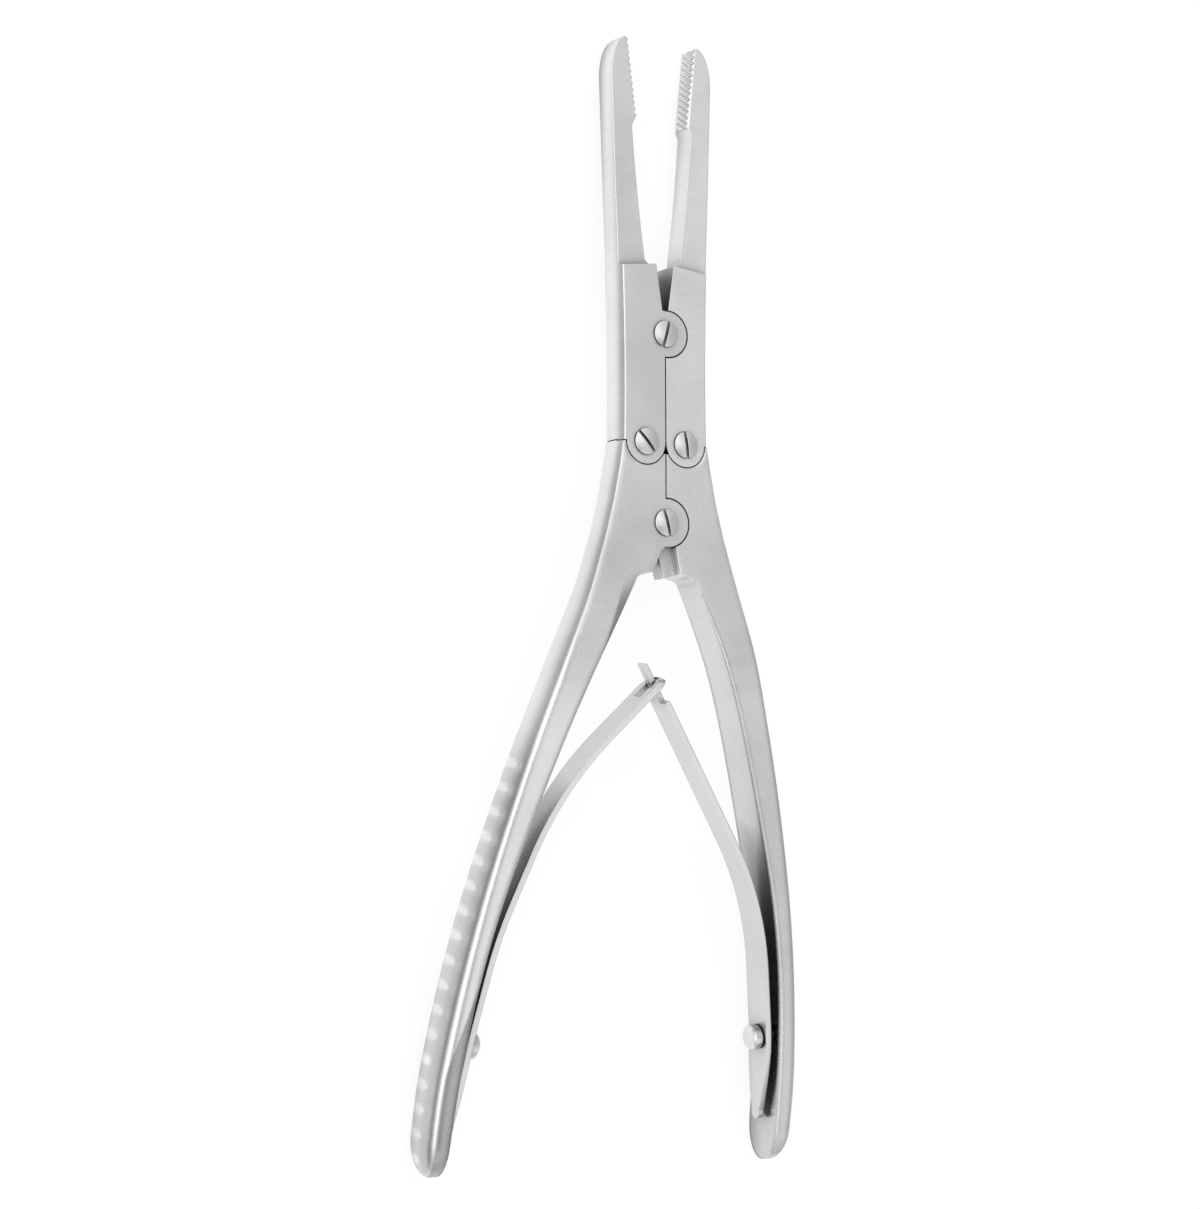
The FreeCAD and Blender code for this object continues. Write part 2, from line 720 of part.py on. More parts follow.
def tip_box(run, start, end, half_width, half_height=2 * leaf_thickness):
    """Block along the leaf near its tip, between two distances past the crossing."""
    side = Vector(run.y, -run.x, 0)
    cross = Vector(leaf_cross[0], leaf_cross[1], 0)
    corners = []
    for along, across in ((start, -1), (end, -1), (end, 1), (start, 1)):
        corners.append(cross + run * along + side * (across * half_height))
    corners = [Vector(c.x, c.y, -half_width) for c in corners]
    return Part.Face(Part.makePolygon(corners + corners[:1])).extrude(Vector(0, 0, 2 * half_width))


def tip_slot(run):
    """Slot near the tip of the left leaf, which takes the right leaf's tongue."""
    low = tip_slot_shift - tip_slot_length / 2
    high = tip_slot_shift + tip_slot_length / 2
    return tip_box(run, low, high, tip_slot_width / 2)


def tongue_sides(run, past):
    """What is cut away beside the tongue of the right leaf."""
    around = tip_box(run, tongue_root_past, past + leaf_tip_width, leaf_width)
    return around.cut(tip_box(run, tongue_root_past, past + leaf_tip_width, tongue_width / 2))


def in_handle_plane(shape):
    """Turns what was drawn flat into the plane of the bent handles."""
    apex = bend_start - bend_radius * math.tan(bend_angle / 2)
    shape.rotate(Vector(0, apex, 0), Vector(1, 0, 0), tilt)
    return shape


def spring_screw_hole(axis):
    """Blind hole for the spring screw in the handle."""
    seat = Vector(leaf_seat[0], leaf_seat[1], 0)
    hole = Part.makeCylinder(spring_shank_radius + ear_gap, screw_reach() + ear_gap, seat, axis)
    return in_handle_plane(hole)


def screw_reach():
    """Length of the spring screw beyond the leaf's middle line."""
    return leaf_thickness / 2 + leaf_stand_off + spring_shank_depth


def spring_screw(axis):
    """Slotted cheese head screw of a leaf spring, drawn on the right hand side."""
    seat = Vector(leaf_seat[0], leaf_seat[1], 0)
    under = seat - axis * (leaf_thickness / 2 + spring_head_gap)
    shank_length = leaf_thickness / 2 + spring_head_gap + screw_reach()
    shank = Part.makeCylinder(spring_shank_radius, shank_length, under, axis)
    head = Part.makeCylinder(spring_head_radius, spring_head_height, under - axis * spring_head_height, axis)
    rim = [e for e in head.Edges if abs((e.CenterOfMass - under).dot(axis) + spring_head_height) < 0.01]
    head = head.makeChamfer(spring_head_bevel, [e for e in rim if len(e.Vertexes) == 1])
    across = Vector(0, 0, 1)
    along = axis.cross(across)
    corner = under - axis * (spring_head_height + 1.0)
    slot = Part.makeBox(spring_slot_depth + 1.0, spring_slot_width, 4 * spring_head_radius)
    slot.Placement = Placement(corner - along * (spring_slot_width / 2) - across * (2 * spring_head_radius),
                               Rotation(axis, along, across, "XYZ"))
    screw = shank.fuse(head).cut(slot)
    return tidy(in_handle_plane(screw))


def build():
    """Every piece in the joint's own frame."""
    left_leaf = leaf_spring(left_leaf_bends, left_bend_radii, left_leaf_past, True)
    right_leaf = leaf_spring(right_leaf_bends, right_bend_radii, right_leaf_past, False)
    pieces = {
        "left_jaw": mirrored(jaw(True)),
        "right_jaw": jaw(False),
        "left_handle": mirrored(handle(True)),
        "right_handle": handle(False),
        "front_pivot_screw": pivot_screw(0, front_pivot_y, front_slot_turn),
        "left_mid_screw": pivot_screw(-mid_pivot_x, mid_pivot_y, left_slot_turn),
        "right_mid_screw": pivot_screw(mid_pivot_x, mid_pivot_y, right_slot_turn),
        "rear_pivot_screw": pivot_screw(0, rear_pivot_y, rear_slot_turn),
        "left_spring": mirrored(in_handle_plane(left_leaf)),
        "right_spring": in_handle_plane(right_leaf),
        "left_spring_screw": mirrored(spring_screw(seat_axis(left_leaf_bends))),
        "right_spring_screw": spring_screw(seat_axis(right_leaf_bends)),
    }
    return pieces


def lay_down(pieces):
    """Lays the instrument on its back: jaw tips and handle ends touch the table at z = 0."""
    tip = Vector(0, tip_y, -half_blade)
    end, turn = bar_frame(-(handle_length - grip_nose))
    end = end + Vector(0, math.sin(turn), -math.cos(turn)) * handle_half_width[-1][1]
    lean = math.degrees(math.atan2(tip.z - end.z, tip.y - end.y))
    place = Placement(Vector(0, 0, 0), Rotation(Vector(1, 0, 0), -lean))
    for name in pieces:
        pieces[name].Placement = place.multiply(pieces[name].Placement)
    whole = Part.makeCompound(list(pieces.values()))
    box = whole.optimalBoundingBox(False, False)
    shift = Vector(-box.Center.x, -box.Center.y, -box.ZMin)
    for name in pieces:
        pieces[name].translate(shift)
    return Placement(shift, Rotation(Vector(1, 0, 0), -lean))


def report(place):
    """Prints the pivots and their axes in the laid down frame, in mm."""
    points = {
        "front_pivot": Vector(0, front_pivot_y, 0),
        "rear_pivot": Vector(0, rear_pivot_y, 0),
        "left_mid_pivot": Vector(-mid_pivot_x, mid_pivot_y, 0),
        "right_mid_pivot": Vector(mid_pivot_x, mid_pivot_y, 0),
    }
    for name, point in points.items():
        where = place.multVec(point)
        print(name, [round(v, 4) for v in where])
    print("joint_axis", [round(v, 6) for v in place.Rotation.multVec(Vector(0, 0, 1))])
    apex = Vector(0, bend_start - bend_radius * math.tan(bend_angle / 2), 0)
    plane = Rotation(Vector(1, 0, 0), tilt)
    for side, name in ((-1, "left_spring_pivot"), (1, "right_spring_pivot")):
        seat = Vector(side * leaf_seat[0], leaf_seat[1], 0)
        where = place.multVec(apex + plane.multVec(seat - apex))
        print(name, [round(v, 4) for v in where])
    print("spring_axis", [round(v, 6) for v in place.Rotation.multVec(plane.multVec(Vector(0, 0, 1)))])


def main():
    os.makedirs("parts", exist_ok=True)
    pieces = build()
    place = lay_down(pieces)
    for name, shape in pieces.items():
        shape.exportStep(os.path.join("parts", name + ".step"))
        print(name, "solids", len(shape.Solids), "valid", shape.isValid(), "volume", round(shape.Volume, 2))
    report(place)


main()
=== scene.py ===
# %% [markdown]
# A cartilage morselizer in satin steel
#
# The instrument is a double action forceps: two toothed jaws, two grooved handles, four pivot screws and
# two leaf springs that push the handles apart. Its construction model holds every piece at its real size.
# This lesson lights that model like a catalogue picture and gives each piece the finish that a workshop
# would give it.

# %% Load the construction model
import json
import math

import bpy
from mathutils import Matrix, Vector

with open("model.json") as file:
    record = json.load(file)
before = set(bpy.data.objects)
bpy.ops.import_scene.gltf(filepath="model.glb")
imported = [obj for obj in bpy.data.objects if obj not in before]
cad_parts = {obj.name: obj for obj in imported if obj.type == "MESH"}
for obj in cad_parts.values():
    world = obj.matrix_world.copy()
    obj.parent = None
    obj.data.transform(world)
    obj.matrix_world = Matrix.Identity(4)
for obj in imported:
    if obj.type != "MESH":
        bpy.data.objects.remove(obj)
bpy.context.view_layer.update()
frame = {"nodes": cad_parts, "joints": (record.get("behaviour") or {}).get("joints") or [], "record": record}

nodes = frame["nodes"]
print("pieces from the construction model:", len(nodes))

# %% [markdown]
# Where the joint lies
#
# The instrument leans a little on the table, because only the jaw tips and the handle ends touch it. The
# squeeze joint of the model gives the rear pivot and the direction square to the joint plates. Everything
# that is placed here starts from those two.

# %% The joint's own directions
mm = 0.001
joints = {joint["name"]: joint for joint in frame["joints"]}
rear_pivot = Vector(joints["handle_squeeze"]["pos_m"])
joint_up = -Vector(joints["handle_squeeze"]["axis"])
across = Vector((1, 0, 0))
to_tips = joint_up.cross(across)
half_joint = 3.1 * mm
plate_front = rear_pivot + joint_up * half_joint
handle_up = Vector(joints["left_spring_flex"]["axis"])
handle_way = handle_up.cross(across)


def from_joint(x, y, z):
    """Direction or distance given across the arms, towards the tips and up from the plates."""
    return across * x + to_tips * y + joint_up * z


print("rear pivot, mm:", [round(v / mm, 2) for v in rear_pivot])

# %% [markdown]
# The camera
#
# Catalogue pictures are taken with a long lens, so the arms stay nearly parallel. The camera stands half a
# metre away, turned 31 degrees to the left of the plates, so that it sees the fronts and the left flanks.

# %% Camera
image_width = 1200
image_height = 1209
focal_pixels = 2870.6
camera_left = math.radians(31.24)
camera_below = math.radians(6.12)
camera_roll = math.radians(-0.14)
camera_distance = 504.3 * mm
aim_right = -11.65 * mm
aim_up = -14.37 * mm

behind = from_joint(
    -math.sin(camera_left) * math.cos(camera_below),
    -math.sin(camera_below),
    math.cos(camera_left) * math.cos(camera_below),
)
level_right = from_joint(math.cos(camera_left), 0, math.sin(camera_left))
level_up = behind.cross(level_right)
camera_right = level_right * math.cos(camera_roll) + level_up * math.sin(camera_roll)
camera_up = level_up * math.cos(camera_roll) - level_right * math.sin(camera_roll)

camera_data = bpy.data.cameras.new("catalogue_camera")
camera_data.sensor_width = 36
camera_data.lens = camera_data.sensor_width * focal_pixels / max(image_width, image_height)
camera_data.clip_start = 0.01
camera = bpy.data.objects.new("catalogue_camera", camera_data)
stand = plate_front + camera_right * aim_right + camera_up * aim_up + behind * camera_distance
turn = Matrix((camera_right, camera_up, behind)).transposed()
camera.matrix_world = Matrix.Translation(stand) @ turn.to_4x4()
bpy.context.scene.collection.objects.link(camera)
bpy.context.scene.camera = camera
print("lens, mm:", round(camera_data.lens, 2))

# %% [markdown]
# Arithmetic with shader sockets
#
# A finish is a chain of small sums: a noise, less a half, times a depth. Written as nodes, each sum takes
# four lines. The class below wraps an output socket, so that a sum on it is written as in plain Python and
# adds its Math nodes by itself. Every other node comes from one method, which sets the node's choices
# before its sockets, because some choices change which sockets there are.


# %% Socket class
def plug(tree, item, socket):
    """Links a socket to another one, or sets its value."""
    if isinstance(item, Socket):
        tree.links.new(item.socket, socket)
    else:
        socket.default_value = item


class Socket:
    """An output socket that can be used in sums."""

    def __init__(self, tree, socket):
        self.tree = tree
        self.socket = socket

    def maths(self, operation, *items):
        node = self.tree.nodes.new("ShaderNodeMath")
        node.operation = operation
        for place, item in enumerate(items):
            plug(self.tree, item, node.inputs[place])
        return Socket(self.tree, node.outputs[0])

    def __add__(self, other):
        return self.maths("ADD", self, other)

    def __radd__(self, other):
        return self.maths("ADD", other, self)

    def __sub__(self, other):
        return self.maths("SUBTRACT", self, other)

    def __rsub__(self, other):
        return self.maths("SUBTRACT", other, self)

    def __mul__(self, other):
        return self.maths("MULTIPLY", self, other)

    def __rmul__(self, other):
        return self.maths("MULTIPLY", other, self)

    def __truediv__(self, other):
        return self.maths("DIVIDE", self, other)

    def __pow__(self, other):
        return self.maths("POWER", self, other)

    def __abs__(self):
        return self.maths("ABSOLUTE", self)

    def at_most(self, other):
        return self.maths("MINIMUM", self, other)

    def at_least(self, other):
        return self.maths("MAXIMUM", self, other)

    def between(self, low, high):
        """0 below low, 1 above high, and a smooth rise between them."""
        node = self.tree.nodes.new("ShaderNodeMapRange")
        node.interpolation_type = "SMOOTHSTEP"
        for name, item in (("Value", self), ("From Min", low), ("From Max", high)):
            plug(self.tree, item, node.inputs[name])
        return Socket(self.tree, node.outputs[0])


class Recipe:
    """The node tree of one finish, lamp or sky."""

    def __init__(self, owner):
        owner.use_nodes = True
        self.tree = owner.node_tree
        self.tree.nodes.clear()

    def node(self, kind, settings=None, sockets=None, output=0):
        made = self.tree.nodes.new(kind)
        for name, value in (settings or {}).items():
            setattr(made, name, value)
        for name, item in (sockets or {}).items():
            plug(self.tree, item, made.inputs[name])
        return Socket(self.tree, made.outputs[output])

    def surface(self, shader, kind="ShaderNodeOutputMaterial"):
        end = self.tree.nodes.new(kind)
        plug(self.tree, shader, end.inputs["Surface"])


print("sums on sockets are ready")

# %% [markdown]
# The satin steel
#
# Surgical steel is ground with fine belts and then matted, so that it doesn't dazzle. Four things make it
# look real at arm's length: hair lines that run the way the belt ran, a slow unevenness of tone where the
# hand pressed harder, edges that are rounded and catch the light as thin bright lines, and dark seams where
# two pieces meet. Two Bevel nodes round the edges in the shading, a sharp one and a soft one, which leaves
# the construction mesh as it is. The angle between the sharply rounded and the true normal tells where an
# edge is. There the colour gets a painted highlight, which adds to the bright lines, and beside a closed
# seam it gets painted shade, which makes the dark seams. An Ambient Occlusion node finds the narrow places,
# and the colour there is darkened as painted shade.
#
# Each finish may bring a function of edges and painted light. It gets the place in joint distances and
# gives back how soft the edges are there, how much of a closed seam they are, how strongly the narrow places
# get painted shade, how much colour the painted shade of the place leaves, and how light its tone is, which
# is mostly painted light and shade.


# %% Steel
sharp_edge = 0.16 * mm
narrow_reach = 5 * mm
scratch_depth = 0.02 * mm
press_scale = 70.0
grain_scale = 2600.0
middle_shade = 0.46
hair_share = 0.45
press_share = 0.55
grain_share = 0.3
edge_highlight_gain = 0.4
narrow_power = 1.4


def grey(level, warm=0.0):
    """A near neutral colour, a little warm or cool."""
    return (level * (1 + warm), level, level * (1 - warm), 1.0)


def dot(recipe, item, direction):
    return recipe.node("ShaderNodeVectorMath", {"operation": "DOT_PRODUCT"}, {0: item, 1: direction},
                       output="Value")


def blend_of(recipe, share, first, second, kind="RGBA"):
    """Mix of two colours or two vectors."""
    inputs, output = ((6, 7), 2) if kind == "RGBA" else ((4, 5), 1)
    return recipe.node("ShaderNodeMix", {"data_type": kind},
                       {0: share, inputs[0]: first, inputs[1]: second}, output=output)


def steel(name, dark, light, roughness, lines, line_turn=0.0, soft_edge=0.4, edges_and_painted_light=None):
    """Ground steel: lines is how fine the hair lines are along and across the arms, per metre."""
    material = bpy.data.materials.new(name)
    recipe = Recipe(material)
    place = recipe.node("ShaderNodeTexCoord", output="Object")
    true = recipe.node("ShaderNodeNewGeometry", output="Normal")
    turned = recipe.node("ShaderNodeVectorRotate", {"rotation_type": "Z_AXIS"},
                         {"Vector": place, "Angle": math.radians(line_turn)})
    stretched = recipe.node("ShaderNodeVectorMath", {"operation": "MULTIPLY"},
                            {0: turned, 1: (lines[1], lines[0], lines[1])})
    hair = recipe.node("ShaderNodeTexNoise", {},
                       {"Vector": stretched, "Scale": 1.0, "Detail": 3.0, "Roughness": 0.6})
    press = recipe.node("ShaderNodeTexNoise", {},
                        {"Vector": place, "Scale": press_scale, "Detail": 2.0, "Roughness": 0.5})
    grain = recipe.node("ShaderNodeTexNoise", {},
                        {"Vector": place, "Scale": grain_scale, "Detail": 2.0, "Roughness": 0.6})
    sharp = recipe.node("ShaderNodeBevel", {"samples": 6}, {"Radius": sharp_edge})
    # edge_line marks the edges: open edges get a painted highlight in the colour, and edges beside a closed
    # seam get painted shade.
    edge_line = (1 - dot(recipe, sharp, true)).between(0.004, 0.09)
    # Painted shade: the Ambient Occlusion darkens the colour in narrow places, where shade falls.
    sky = recipe.node("ShaderNodeAmbientOcclusion", {"samples": 8}, {"Distance": narrow_reach},
                      output="AO")
    normal, seam, unshaded_by_place, tone = sharp, 0.0, 1.0, 0.0
    if edges_and_painted_light:
        from_pivot = recipe.node("ShaderNodeVectorMath", {"operation": "SUBTRACT"},
                                 {0: place, 1: rear_pivot})
        spot = [dot(recipe, from_pivot, direction / mm) for direction in (across, to_tips, joint_up)]
        softness, seam, crevice_shade_share, unshaded_by_place, tone = edges_and_painted_light(recipe, spot, true)
        soft = recipe.node("ShaderNodeBevel", {"samples": 10}, {"Radius": soft_edge * mm})
        normal = blend_of(recipe, softness, sharp, soft, "VECTOR")
        normal = recipe.node("ShaderNodeVectorMath", {"operation": "NORMALIZE"}, {0: normal})
        sky = 1 - (1 - sky) * crevice_shade_share
    # Hair lines, pressure and grain are the steel's own tone; the edge term is a painted highlight, and the
    # tone from the function is mostly painted light and shade.
    shade = middle_shade + (hair - 0.5) * hair_share + (press - 0.5) * press_share
    shade = shade + (grain - 0.5) * grain_share + edge_line * (1 - seam) * edge_highlight_gain + tone
    rough = roughness + (hair - 0.5) * 0.1 + (press - 0.5) * 0.08
    ground = blend_of(recipe, shade.at_most(1.0).at_least(0.0), dark, light)
    # Painted shade: narrow places, edges beside closed seams and the shaded places of the function blend
    # towards near black.
    clear = (sky ** narrow_power) * (1 - edge_line * seam) * unshaded_by_place
    colour = blend_of(recipe, clear.at_most(1.0).at_least(0.0), grey(0.015), ground)
    bump = recipe.node("ShaderNodeBump", {},
                       {"Strength": 0.1, "Distance": scratch_depth, "Height": hair * 0.7 + grain * 0.3,
                        "Normal": normal})
    recipe.surface(recipe.node("ShaderNodeBsdfPrincipled", {},
                               {"Base Color": colour, "Metallic": 1.0, "Roughness": rough, "Normal": bump}))
    return material


# %% [markdown]
# Where the rounding and the painted light are
#
# The joint plates were ground flat together, so their cuts are sharp, and the edges beside the cuts get
# painted shade, so that they read as dark lines, while the outer edges of the arms were rounded by hand.
# The right half gets a lighter tone than the left one. Faces that look outwards get a painted highlight,
# and the inner faces of the handles, the root between the jaws and the hollow beside the teeth get painted
# shade. The tooth faces get painted light on the right jaw and painted shade on the left one, and the
# fronts of the handles painted light on the left handle and painted shade on the right one. On the grips,
# the edges are rounder still, and the flanks get painted shade that darkens towards the front edge. The
# grooves get a painted highlight. They lie at an even pitch, so a distance along the grip, taken as a
# share of the pitch, tells where each groove is. Painted shade starts at a slanted line on the front of
# the left handle, and the inner half of each handle keeps crisper edges near the plates.

# %% Wear of the jaws and handles
plate_low_y = -4.7
plate_high_y = 38.1
cut_reach = 8.5
junction_y = (12.9, 15.4)
groove_pitch = 4.3
groove_width = 1.5
first_groove = rear_pivot + from_joint(0, -42.6, -4.69) * mm
bite_heel = (5.11, 72.44)
bite_tip = (6.94, 86.91)
bite_length = math.hypot(bite_tip[0] - bite_heel[0], bite_tip[1] - bite_heel[1])
bite_way = [(tip - heel) / bite_length for heel, tip in zip(bite_heel, bite_tip)]
arm_side = (6.0, 7.0)
front_patch_at = (10.5, 16.5)
front_patch_slope = 3.1
inner_at = (7.2, 16.5)
inner_slope = 0.52
groove_highlight_gain = 0.8
grip_flank_shade = 0.15


def inside(value, low, high, edge=0.3):
    """1 between low and high, 0 outside them."""
    return value.between(low, low + edge) * (1 - value.between(high - edge, high))


def seams(spot):
    """The cuts between the four arms around the pivots, whose edges get painted shade."""
    off_line = abs(spot[0])
    plates = (1 - off_line.between(cut_reach - 0.2, cut_reach)) * inside(spot[1], plate_low_y, plate_high_y)
    return plates.at_least(inside(spot[1], *junction_y))


def facing_out(recipe, spot, true):
    """How far a face looks away from the centre line, from -1 to 1."""
    return dot(recipe, true, across) * spot[0].maths("SIGN", spot[0])


def jaw_edges_and_painted_light(tone, tooth_crevice_shade, tooth_painted_light, flank_highlight, hollow_depth, hollow_shade, hollow_up):
    """Rounding and painted light of one jaw: painted light on its teeth and a painted highlight on its
    flank, and painted shade in the hollow beside the teeth and at the root by the plates.
    """
    def edges_and_painted_light(recipe, spot, true):
        off_line = abs(spot[0])
        outward = facing_out(recipe, spot, true)
        inward = 0 - outward
        depth = (off_line - bite_heel[0]) * bite_way[1] - (spot[1] - bite_heel[1]) * bite_way[0]
        bite = spot[1].between(bite_heel[1] - 0.7, bite_heel[1] - 0.2) * (1 - depth.between(0.75, 0.8))
        teeth = bite * inward.between(0.05, 0.3)
        level = dot(recipe, true, joint_up).between(*hollow_up)
        # Painted shade on the faces beside the teeth that don't look up.
        hollow = bite * depth.between(*hollow_depth) * (1 - level)
        # Painted shade at the root of the V between the jaws.
        root = inward.between(0.3, 0.6) * (1 - spot[1].between(43.0, 48.5))
        softness = off_line.between(*arm_side) * 0.4
        unshaded_by_place = (1 - hollow * hollow_shade) * (1 - root * 0.68)
        crevice_shade_share = 1 - teeth * (1 - tooth_crevice_shade)
        # Painted light on the tooth faces, which the left jaw gets as painted shade, and a painted highlight
        # on the flanks that look outwards.
        shade = tone + teeth * tooth_painted_light + outward.between(0.5, 0.8) * flank_highlight
        return softness, seams(spot), crevice_shade_share, unshaded_by_place, shade
    return edges_and_painted_light


def handle_edges_and_painted_light(tone, front_patch_shade, inner_shade, flank_highlight, front_painted_light):
    """Rounding and painted light of one handle: a painted highlight in the grooves and on the flank, painted
    shade on the grip flank, on a patch of the front and on the inner side, and painted light on the front,
    which the right handle gets as painted shade.
    """
    def edges_and_painted_light(recipe, spot, true):
        outward = facing_out(recipe, spot, true)
        from_first = recipe.node("ShaderNodeVectorMath", {"operation": "SUBTRACT"},
                                 {0: recipe.node("ShaderNodeTexCoord", output="Object"), 1: first_groove})
        along = dot(recipe, from_first, handle_way / -mm)
        above = dot(recipe, from_first, handle_up / mm)
        flank = outward.between(0.5, 0.75)
        share = along / groove_pitch + 0.5
        off_groove = abs(share.maths("FLOORED_MODULO", share, 1.0) - 0.5) * groove_pitch
        groove = 1 - off_groove.between(groove_width * 0.1, groove_width * 0.9)
        # Painted highlight in the grooves.
        groove_highlight = groove * along.between(-1.2, -0.8) * flank * (1 - above.between(-0.4, 1.5))
        # Painted shade on the grip flank.
        grip_flank = along.between(-12.0, 6.0) * flank
        off_line = abs(spot[0])
        front = 1 - abs(outward).between(0.3, 0.6)
        # Painted shade on a patch of the front below a slanted line.
        front_patch = 1 - (spot[1] + front_patch_at[1] + (off_line - front_patch_at[0]) * front_patch_slope).between(-0.9, 0.9)
        front_patch = front_patch * (1 - spot[1].between(-16.0, -9.0)) * front
        lower = 0 - spot[1]
        middle = inner_at[0] + (lower - inner_at[1]) * inner_slope
        inner_half = (middle - off_line).between(0.0, 1.5) * (1 - lower.between(30.0, 46.0))
        rounded = (off_line.between(*arm_side) * 0.3).at_least(lower.between(0.0, 32.0))
        softness = rounded * (1 - inner_half * 0.85)
        # Painted shade on the inner side between the arms.
        inward = (0 - outward).between(0.3, 0.6)
        inner = inward * (lower.between(7.0, 9.0) * 0.35 + lower.between(18.0, 50.0) * 0.65)
        crevice_shade_share = 0.75
        # Painted shade: the grip flank darkens towards its front edge, and the front patch darkens.
        unshaded_by_place = (1 - grip_flank * above.between(-0.5, 2.6) * grip_flank_shade) * (1 + front_patch * front_patch_shade * 0.6)
        shade = tone + groove_highlight * groove_highlight_gain - grip_flank * grip_flank_shade + (flank - grip_flank) * flank_highlight
        shade = shade + front_patch * front_patch_shade
        # Painted light on the front, which the right handle gets as painted shade.
        shade = shade + front * lower.between(10.0, 50.0) * front_painted_light + inner * inner_shade
        return softness, seams(spot), crevice_shade_share, unshaded_by_place, shade
    return edges_and_painted_light


def spring_edges_and_painted_light(recipe, spot, true):
    """Rounding and painted light of a leaf spring: a painted highlight on its edge faces and painted shade
    in narrow places.
    """
    softness = 0.5
    no_seam = 0.0
    crevice_shade_share = 0.6
    unshaded_by_place = 1.0
    # Painted highlight on the edge faces.
    edge_face = abs(dot(recipe, true, handle_up)).between(0.6, 0.85)
    return softness, no_seam, crevice_shade_share, unshaded_by_place, edge_face * 0.45 - 0.1


jaw_lines = (9000.0, 260.0)
arm_lines = (260.0, 9000.0)
steel_dark = grey(0.50)
steel_light = grey(0.92)
# Each jaw and handle gets its own copy of the steel, which differs from the other side in tone and in
# painted light and shade.
left_jaw_edges_and_painted_light = jaw_edges_and_painted_light(tone=0.02, tooth_crevice_shade=0.6, tooth_painted_light=-0.2, flank_highlight=0.3,
                         hollow_depth=(-0.5, -0.4), hollow_shade=0.75, hollow_up=(0.8, 0.95))
right_jaw_edges_and_painted_light = jaw_edges_and_painted_light(tone=0.26, tooth_crevice_shade=0.1, tooth_painted_light=0.45, flank_highlight=0.2,
                          hollow_depth=(0.3, 0.5), hollow_shade=0.62, hollow_up=(0.45, 0.6))
left_handle_edges_and_painted_light = handle_edges_and_painted_light(tone=0.02, front_patch_shade=-0.5, inner_shade=-0.2, flank_highlight=0.25,
                               front_painted_light=0.24)
right_handle_edges_and_painted_light = handle_edges_and_painted_light(tone=0.1, front_patch_shade=0.0, inner_shade=-0.22, flank_highlight=0.1,
                                front_painted_light=-0.3)
finishes = {
    ("jaw_steel", "left"): steel("jaw_steel_left", steel_dark, steel_light, 0.30, jaw_lines,
                                 edges_and_painted_light=left_jaw_edges_and_painted_light),
    ("jaw_steel", "right"): steel("jaw_steel_right", steel_dark, steel_light, 0.30, jaw_lines,
                                  edges_and_painted_light=right_jaw_edges_and_painted_light),
    ("handle_steel", "left"): steel("handle_steel_left", steel_dark, steel_light, 0.26, arm_lines,
                                    soft_edge=2.0, edges_and_painted_light=left_handle_edges_and_painted_light),
    ("handle_steel", "right"): steel("handle_steel_right", steel_dark, steel_light, 0.26, arm_lines,
                                     soft_edge=1.5, edges_and_painted_light=right_handle_edges_and_painted_light),
}
screw_steel = steel("screw_steel", grey(0.58), grey(0.92), 0.24, (900.0, 2600.0), line_turn=35.0)
spring_steel = steel("spring_steel", grey(0.58), grey(0.86), 0.28, arm_lines, edges_and_painted_light=spring_edges_and_painted_light)
for side in ("left", "right"):
    finishes["screw_steel", side] = screw_steel
    finishes["spring_steel", side] = spring_steel
print("finishes:", sorted({finish.name for finish in finishes.values()}))

# %% Finishes onto the pieces
for part in frame["record"]["subparts"]:
    side = "right" if part["node"].startswith("right") else "left"
    for slot in nodes[part["node"]].material_slots:
        slot.material = finishes[part["material_slot"], side]

# %% [markdown]
# The table
#
# The picture stands on pure white. The table is a white diffuse sheet. To the camera and to the steel it
# shows mostly its own white glow, so that it stays white wherever the lamps put it, and the share of
# diffuse that is left keeps a faint shadow under the instrument. In the steel's mirror image the glow is a
# pool around the instrument, and the sheet beyond it is dim. That gives the grey bands along the flanks.


# %% Table
def table():
    """Large white sheet that the instrument lies on."""
    half = 3.0
    corners = [(-half, -half, 0), (half, -half, 0), (half, half, 0), (-half, half, 0)]
    mesh = bpy.data.meshes.new("table")
    mesh.from_pydata(corners, [], [(0, 1, 2, 3)])
    sheet = bpy.data.objects.new("table", mesh)
    bpy.context.scene.collection.objects.link(sheet)
    material = bpy.data.materials.new("white_sheet")
    recipe = Recipe(material)
    seen = recipe.node("ShaderNodeLightPath", output="Is Camera Ray")
    mirrored = recipe.node("ShaderNodeLightPath", output="Is Glossy Ray")
    glow = seen * 0.86 + mirrored * 0.8
    place = recipe.node("ShaderNodeTexCoord", output="Object")
    half_span = 10 * mm + (0 - dot(recipe, place, to_tips)).between(-20 * mm, 110 * mm) * 30 * mm
    away = abs(dot(recipe, place, across)) - half_span
    pool = 1 - away.between(8 * mm, 46 * mm) * mirrored * 0.68
    paper = recipe.node("ShaderNodeBsdfDiffuse", {}, {"Color": grey(0.95)})
    shown = blend_of(recipe, pool, grey(0.0), grey(1.0))
    white = recipe.node("ShaderNodeEmission", {}, {"Color": shown, "Strength": 1.03})
    recipe.surface(recipe.node("ShaderNodeMixShader", {}, {0: glow, 1: paper, 2: white}))
    mesh.materials.append(material)
    return sheet


sheet = table()
print("table half width, m:", max(corner.co.x for corner in sheet.data.vertices))

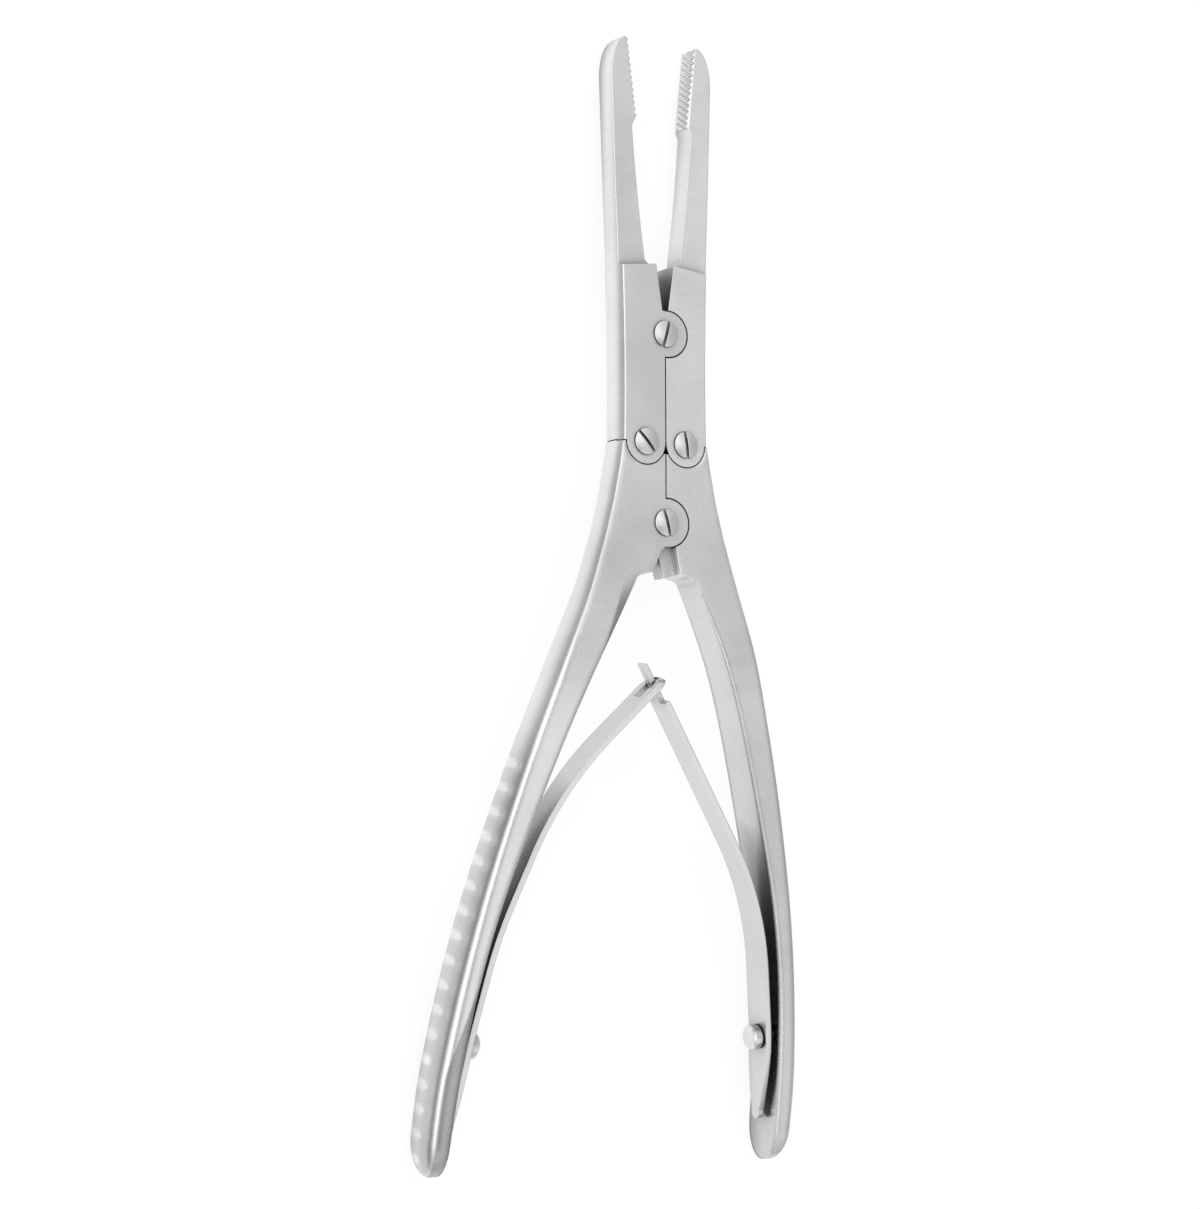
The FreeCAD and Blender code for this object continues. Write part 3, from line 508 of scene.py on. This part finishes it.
# %% [markdown]
# Soft studio light
#
# A light tent surrounds the table. Steel is a mirror, so what it shows is the tent: a bright panel up
# beside the camera gives the white lines on rounded edges, a quieter right side gives the grey of the flat
# fronts, and the darker seam where the tent meets the table gives the grey bands along the round flanks. A
# dim patch overhead tones down the faces that look straight up, and a brighter strip above the handle end
# lights the grips.


# %% Tent and lamp
tent_glow = 0.81
panel_gain = 0.78
seam_loss = 0.48
above_loss = 0.55
right_loss = 0.25
strip_gain = 0.2


def tent():
    """World colour by direction."""
    world = bpy.data.worlds.new("tent")
    bpy.context.scene.world = world
    recipe = Recipe(world)
    way = recipe.node("ShaderNodeTexCoord", output="Generated")

    def towards(direction):
        return dot(recipe, way, direction.normalized())

    up = towards(from_joint(0, 0, 1))
    left = towards(from_joint(-1, 0, 0))
    low = towards(from_joint(0, -1, 0))
    panel = towards(from_joint(-0.6, -0.15, 0.78)).between(0.86, 0.95)
    seam = (1 - abs(up).between(0.05, 0.45)) * left.between(0.3, 0.8)
    above = towards(from_joint(0.0, -0.24, 0.97)).between(0.895, 0.965)
    right = towards(from_joint(0.90, 0.08, 0.42)).between(0.78, 0.96)
    light = tent_glow + panel * panel_gain - seam * seam_loss - above * above_loss - right * right_loss
    light = light + low.between(0.0, 0.34) * up.between(0.3, 0.6) * strip_gain
    seen = recipe.node("ShaderNodeLightPath", output="Is Camera Ray")
    strength = light * (1 - seen) + seen
    sky = recipe.node("ShaderNodeBackground", {}, {"Color": grey(1.0), "Strength": strength})
    recipe.surface(sky, "ShaderNodeOutputWorld")


tent()


def softbox(name, place, size, power):
    """Square lamp aimed at the joint."""
    lamp = bpy.data.lights.new(name, "AREA")
    lamp.size = size
    lamp.energy = power
    holder = bpy.data.objects.new(name, lamp)
    holder.location = plate_front + place
    holder.rotation_euler = place.to_track_quat("Z", "Y").to_euler()
    bpy.context.scene.collection.objects.link(holder)


softbox("key_softbox", from_joint(-0.3, 0.35, 1.0), size=1.4, power=3.0)
print("lamps:", [lamp.name for lamp in bpy.data.lights])

# %% Finish
bpy.context.scene.view_settings.view_transform = "Standard"
